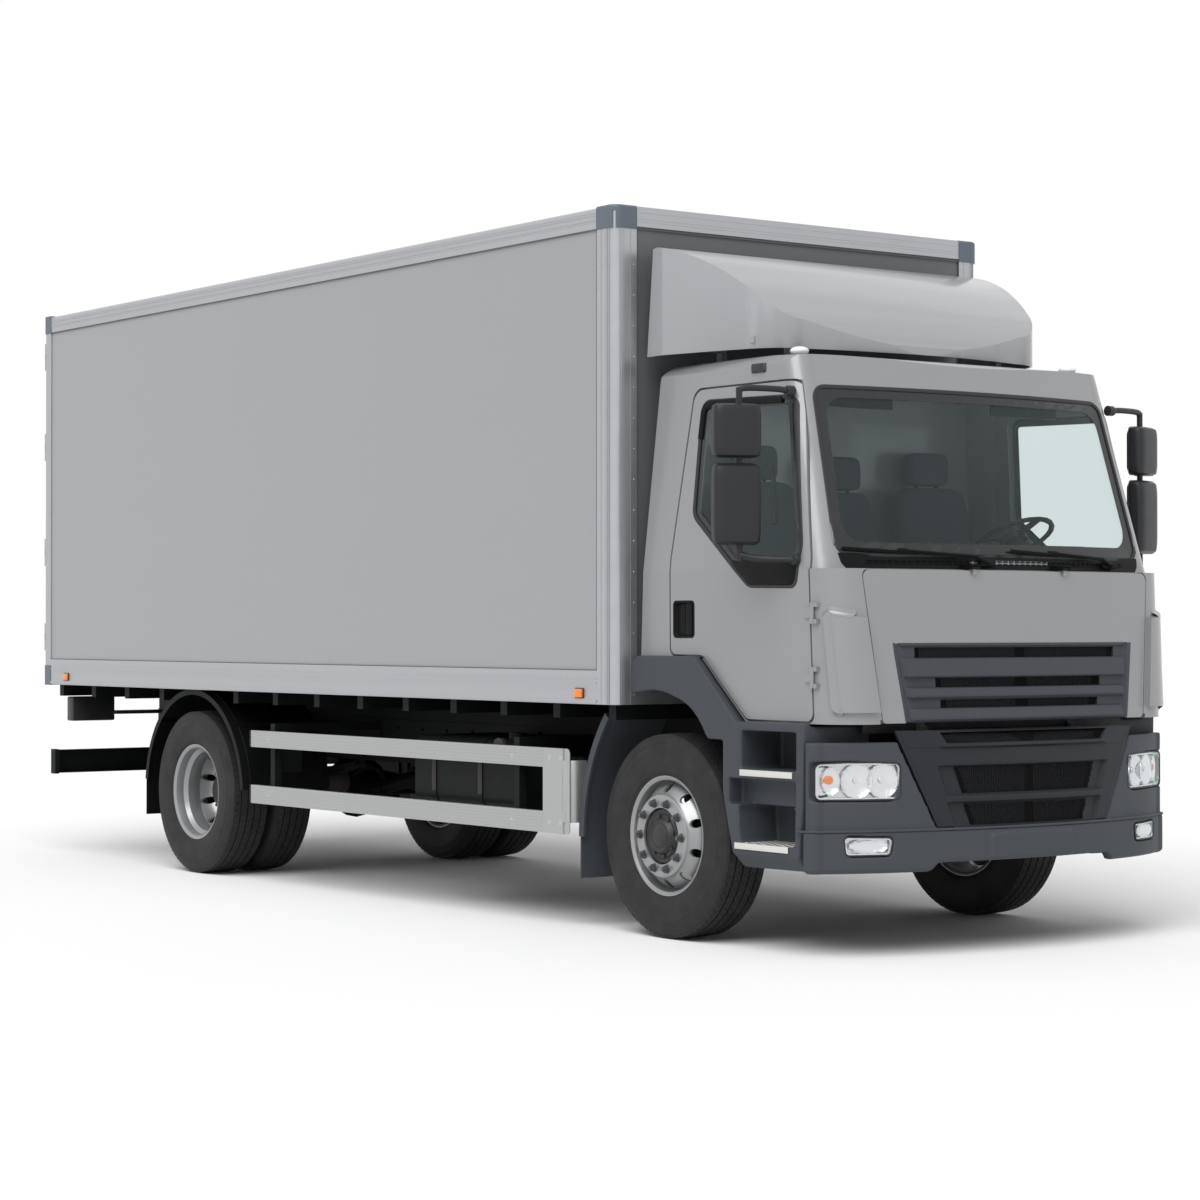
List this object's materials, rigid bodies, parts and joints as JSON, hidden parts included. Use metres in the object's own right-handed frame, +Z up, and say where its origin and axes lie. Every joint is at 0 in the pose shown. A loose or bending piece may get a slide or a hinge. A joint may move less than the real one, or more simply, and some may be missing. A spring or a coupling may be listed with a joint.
{
  "type": "box truck",
  "caption": "Two-axle box truck: forward tilting cab with opening doors and service lid, dry-freight box with twin rear doors, steered front wheels and twin rear wheels.",
  "frame": {"origin": "on the ground under the middle of the truck's overall length and width", "axes": "+X towards the truck's nose, +Y to the truck's left, +Z up"},
  "size_m": [8.34, 2.9554, 3.674],
  "materials": {
    "box_panel": "satin",
    "cab_paint": "semi-gloss",
    "fairing_paint": "semi-gloss",
    "anodised_rail": "satin",
    "guard_aluminium": "brushed",
    "moulded_grey": "fine grain",
    "dark_plastic": "grained",
    "cap_plastic": "smooth",
    "chassis_paint": "satin",
    "tyre_rubber": "moulded",
    "wheel_silver": "satin",
    "cast_steel": "rough",
    "spring_steel": "painted",
    "tinted_glass": "polished",
    "lamp_lens": "clear",
    "seat_cloth": "woven",
    "deck_plywood": "matte"
  },
  "bodies": {
    "chassis": {"air_tanks": "chassis_paint", "battery_box": "chassis_paint", "box_bottom_rails": "anodised_rail", "box_floor": "deck_plywood", "box_front_frame": "anodised_rail", "box_front_wall": "box_panel", "box_rear_frame": "anodised_rail", "box_roof": "box_panel", "box_sides": "box_panel", "box_top_rails": "anodised_rail", "bumper": "moulded_grey", "bumper_grille": "moulded_grey", "chassis_frame": "chassis_paint", "corner_caps": "cap_plastic", "engine_block": "cast_steel", "front_axle": "cast_steel", "front_fenders": "dark_plastic", "fuel_tank": "chassis_paint", "guard_arms": "chassis_paint", "lamp_units": "lamp_lens", "leaf_springs": "spring_steel", "propeller_shaft": "cast_steel", "rear_axle": "cast_steel", "rear_mudguards": "dark_plastic", "rear_underrun": "chassis_paint", "side_guards": "guard_aluminium", "silencer": "chassis_paint", "step_boxes": "moulded_grey"},
    "front_left_wheel": {"front_tyre_left": "tyre_rubber", "front_rim_left": "wheel_silver"},
    "front_right_wheel": {"front_tyre_right": "tyre_rubber", "front_rim_right": "wheel_silver"},
    "rear_left_wheels": {"rear_tyres_left": "tyre_rubber", "rear_rims_left": "wheel_silver"},
    "rear_right_wheels": {"rear_tyres_right": "tyre_rubber", "rear_rims_right": "wheel_silver"},
    "left_knuckle": {"knuckle_left": "cast_steel"},
    "right_knuckle": {"knuckle_right": "cast_steel"},
    "tie_rod": {"tie_rod": "cast_steel"},
    "left_door": {"door_left": "cab_paint", "door_glass_left": "tinted_glass", "mirror_left": "dark_plastic"},
    "right_door": {"door_right": "cab_paint", "door_glass_right": "tinted_glass", "mirror_right": "dark_plastic"},
    "front_lid": {"front_panel": "cab_paint", "grille": "moulded_grey"},
    "left_rear_door": {"rear_door_left": "box_panel"},
    "right_rear_door": {"rear_door_right": "box_panel"},
    "cab": {"cab_floor": "cab_paint", "cab_rear_wall": "cab_paint", "cab_roof": "cab_paint", "cab_side_frames": "cab_paint", "cab_firewall": "cab_paint", "cab_corner_panels": "cab_paint", "windscreen": "tinted_glass", "roof_fairing": "fairing_paint", "dashboard": "dark_plastic", "seats": "seat_cloth", "wipers": "dark_plastic"}
  },
  "joints": [
    {"name": "steer_left", "type": "hinge", "parent": "chassis", "child": "left_knuckle", "pos_m": [2.73, 0.9, 0.511], "axis": [0, 0, 1], "range_deg": [-36, 36]},
    {"name": "steer_right", "type": "hinge", "parent": "chassis", "child": "right_knuckle", "pos_m": [2.73, -0.9, 0.511], "axis": [0, 0, 1], "range_deg": [-36, 36]},
    {"name": "tie_rod_swing", "type": "hinge", "parent": "left_knuckle", "child": "tie_rod", "pos_m": [2.56, 0.9, 0.391], "axis": [0, 0, 1], "range_deg": [-36, 36]},
    {"name": "front_left_spin", "type": "hinge", "parent": "left_knuckle", "child": "front_left_wheel", "pos_m": [2.73, 1, 0.511], "axis": [0, 1, 0], "continuous": true},
    {"name": "front_right_spin", "type": "hinge", "parent": "right_knuckle", "child": "front_right_wheel", "pos_m": [2.73, -1, 0.511], "axis": [0, 1, 0], "continuous": true},
    {"name": "rear_left_spin", "type": "hinge", "parent": "chassis", "child": "rear_left_wheels", "pos_m": [-2.07, 0.9075, 0.511], "axis": [0, 1, 0], "continuous": true},
    {"name": "rear_right_spin", "type": "hinge", "parent": "chassis", "child": "rear_right_wheels", "pos_m": [-2.07, -0.9075, 0.511], "axis": [0, 1, 0], "continuous": true},
    {"name": "cab_tilt", "type": "hinge", "parent": "chassis", "child": "cab", "pos_m": [4.02, 0, 0.935], "axis": [0, 1, 0], "range_deg": [0, 45]},
    {"name": "left_door_swing", "type": "hinge", "parent": "cab", "child": "left_door", "pos_m": [3.858, 1.126, 1.9], "axis": [0, 0, -1], "range_deg": [0, 70]},
    {"name": "right_door_swing", "type": "hinge", "parent": "cab", "child": "right_door", "pos_m": [3.858, -1.126, 1.9], "axis": [0, 0, 1], "range_deg": [0, 70]},
    {"name": "front_lid_lift", "type": "hinge", "parent": "cab", "child": "front_lid", "pos_m": [4.078, 0, 1.83], "axis": [0, -1, 0], "range_deg": [0, 70]},
    {"name": "left_rear_door_swing", "type": "hinge", "parent": "chassis", "child": "left_rear_door", "pos_m": [-4.134, 1.236, 2.4], "axis": [0, 0, -1], "range_deg": [0, 250]},
    {"name": "right_rear_door_swing", "type": "hinge", "parent": "chassis", "child": "right_rear_door", "pos_m": [-4.134, -1.236, 2.4], "axis": [0, 0, 1], "range_deg": [0, 250]}
  ],
  "couplings": [
    {"joint": "steer_right", "follows": "steer_left", "ratio": 1},
    {"joint": "tie_rod_swing", "follows": "steer_left", "ratio": -1}
  ]
}
